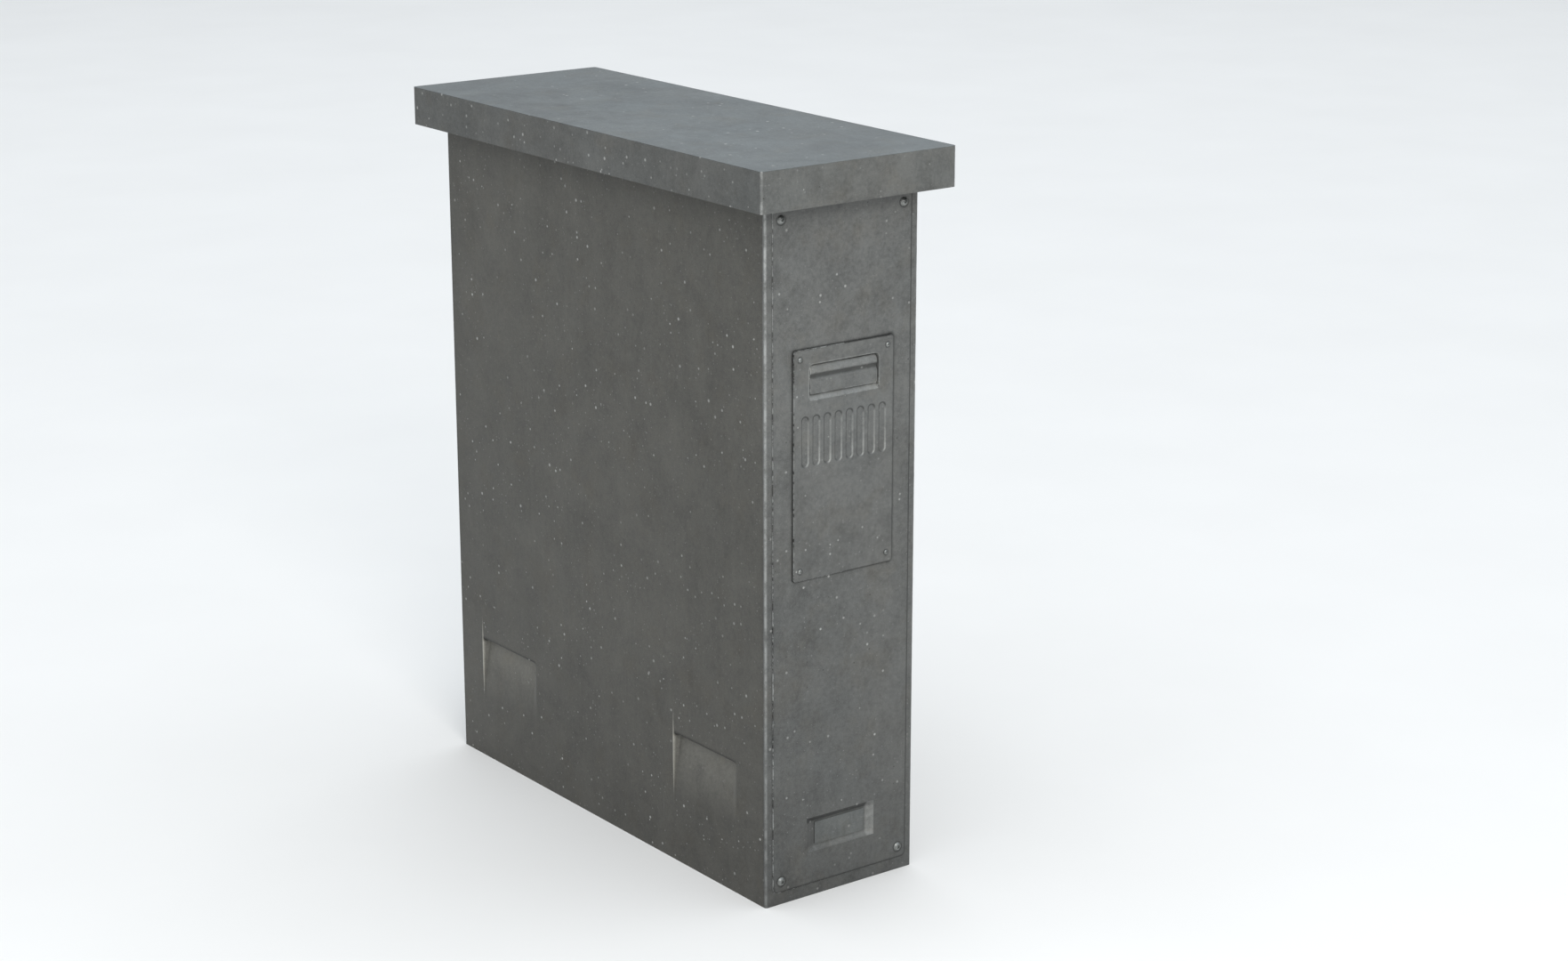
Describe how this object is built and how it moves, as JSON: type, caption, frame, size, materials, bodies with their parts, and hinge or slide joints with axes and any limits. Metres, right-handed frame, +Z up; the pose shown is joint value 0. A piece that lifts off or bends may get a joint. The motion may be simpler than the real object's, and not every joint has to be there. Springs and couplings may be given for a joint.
{
  "type": "book drop box",
  "caption": "Tall narrow steel return cabinet with a tilting hopper door in front and a sprung-floor cart behind a rear service door.",
  "frame": {"origin": "on the floor under the middle of the lid", "axes": "+Z up, the narrow front face with the hopper looks towards -Y, the hopper hinge lies along X"},
  "size_m": [0.378, 1.013, 1.21],
  "materials": {
    "body_paint": "satin, weathered",
    "inner_paint": "satin",
    "label_plate": "matt",
    "screw_steel": "dulled",
    "zinc_steel": "zinc plated",
    "lock_chrome": "satin chrome",
    "spring_steel": "oiled",
    "bush_bronze": "sintered",
    "rubber": "matt",
    "pad_rubber": "ribbed",
    "wheel_rubber": "matt",
    "tub_plastic": "moulded"
  },
  "bodies": {
    "cabinet": {"base_pan": "inner_paint", "side_left": "body_paint", "side_right": "body_paint", "front_frame": "body_paint", "rear_frame": "body_paint", "lid": "body_paint", "lid_gasket": "rubber", "lid_studs": "zinc_steel", "front_panel": "body_paint", "label_plate": "label_plate", "panel_screws": "screw_steel", "panel_nuts": "zinc_steel", "hopper_seal": "rubber", "hinge_brackets": "inner_paint", "bracket_nuts": "zinc_steel", "hinge_rod": "zinc_steel", "baffle": "inner_paint", "baffle_nuts": "zinc_steel", "stop_bumpers": "rubber", "deflector_left": "inner_paint", "deflector_right": "inner_paint", "rear_seal": "rubber", "frame_hinge_leaves": "inner_paint", "rear_hinge_pins": "zinc_steel", "lock_keeper": "zinc_steel"},
    "hopper": {"hopper_face": "body_paint", "grip_insert": "body_paint", "face_screws": "screw_steel", "cheek_left": "inner_paint", "cheek_right": "inner_paint", "hopper_tray": "inner_paint", "hinge_bushes": "bush_bronze"},
    "rear_door": {"door_skin": "body_paint", "door_stiffener": "inner_paint", "door_hinge_leaves": "inner_paint", "lock_body": "lock_chrome"},
    "lock": {"t_handle": "lock_chrome", "lock_spindle": "zinc_steel", "lock_cam": "zinc_steel", "cam_nut": "zinc_steel"},
    "cart": {"cart_base": "inner_paint", "bin_tub": "tub_plastic", "rim_bead": "tub_plastic", "caster_plates": "zinc_steel", "rigid_forks": "zinc_steel", "rear_axles": "zinc_steel", "platform_springs": "spring_steel"},
    "platform": {"platform_pan": "inner_paint", "platform_pad": "pad_rubber"},
    "swivel_left": {"swivel_fork_left": "zinc_steel", "front_axle_left": "zinc_steel"},
    "swivel_right": {"swivel_fork_right": "zinc_steel", "front_axle_right": "zinc_steel"},
    "wheel_fl": {"wheel_front_left": "wheel_rubber"},
    "wheel_fr": {"wheel_front_right": "wheel_rubber"},
    "wheel_rl": {"wheel_rear_left": "wheel_rubber"},
    "wheel_rr": {"wheel_rear_right": "wheel_rubber"}
  },
  "joints": [
    {"name": "hopper_tilt", "type": "hinge", "parent": "cabinet", "child": "hopper", "pos_m": [0, -0.45, 0.536], "axis": [1, 0, 0], "range_deg": [0, 40]},
    {"name": "rear_door_swing", "type": "hinge", "parent": "cabinet", "child": "rear_door", "pos_m": [0.146, 0.468, 0.6], "axis": [0, 0, -1], "range_deg": [0, 115]},
    {"name": "lock_turn", "type": "hinge", "parent": "rear_door", "child": "lock", "pos_m": [-0.1, 0.468, 0.6], "axis": [0, 1, 0], "range_deg": [0, 90]},
    {"name": "cart_roll", "type": "slide", "parent": "cabinet", "child": "cart", "axis": [0, 1, 0], "range_m": [0, 0.05]},
    {"name": "platform_sink", "type": "slide", "parent": "cart", "child": "platform", "axis": [0, 0, -1], "range_m": [0, 0.15], "stiffness_N_per_m": 2600, "springref_m": -0.03, "deforming": ["platform_springs"]},
    {"name": "swivel_left_turn", "type": "hinge", "parent": "cart", "child": "swivel_left", "pos_m": [-0.079, -0.34, 0.06], "axis": [0, 0, 1], "continuous": true},
    {"name": "swivel_right_turn", "type": "hinge", "parent": "cart", "child": "swivel_right", "pos_m": [0.079, -0.34, 0.06], "axis": [0, 0, 1], "continuous": true},
    {"name": "wheel_fl_spin", "type": "hinge", "parent": "swivel_left", "child": "wheel_fl", "pos_m": [-0.079, -0.325, 0.0283], "axis": [1, 0, 0], "continuous": true},
    {"name": "wheel_fr_spin", "type": "hinge", "parent": "swivel_right", "child": "wheel_fr", "pos_m": [0.079, -0.325, 0.0283], "axis": [1, 0, 0], "continuous": true},
    {"name": "wheel_rl_spin", "type": "hinge", "parent": "cart", "child": "wheel_rl", "pos_m": [-0.079, 0.3, 0.0283], "axis": [1, 0, 0], "continuous": true},
    {"name": "wheel_rr_spin", "type": "hinge", "parent": "cart", "child": "wheel_rr", "pos_m": [0.079, 0.3, 0.0283], "axis": [1, 0, 0], "continuous": true}
  ],
  "couplings": [
    {"joint": "wheel_fl_spin", "follows": "cart_roll", "rad_per_m": -40},
    {"joint": "wheel_fr_spin", "follows": "cart_roll", "rad_per_m": -40},
    {"joint": "wheel_rl_spin", "follows": "cart_roll", "rad_per_m": -40},
    {"joint": "wheel_rr_spin", "follows": "cart_roll", "rad_per_m": -40}
  ]
}
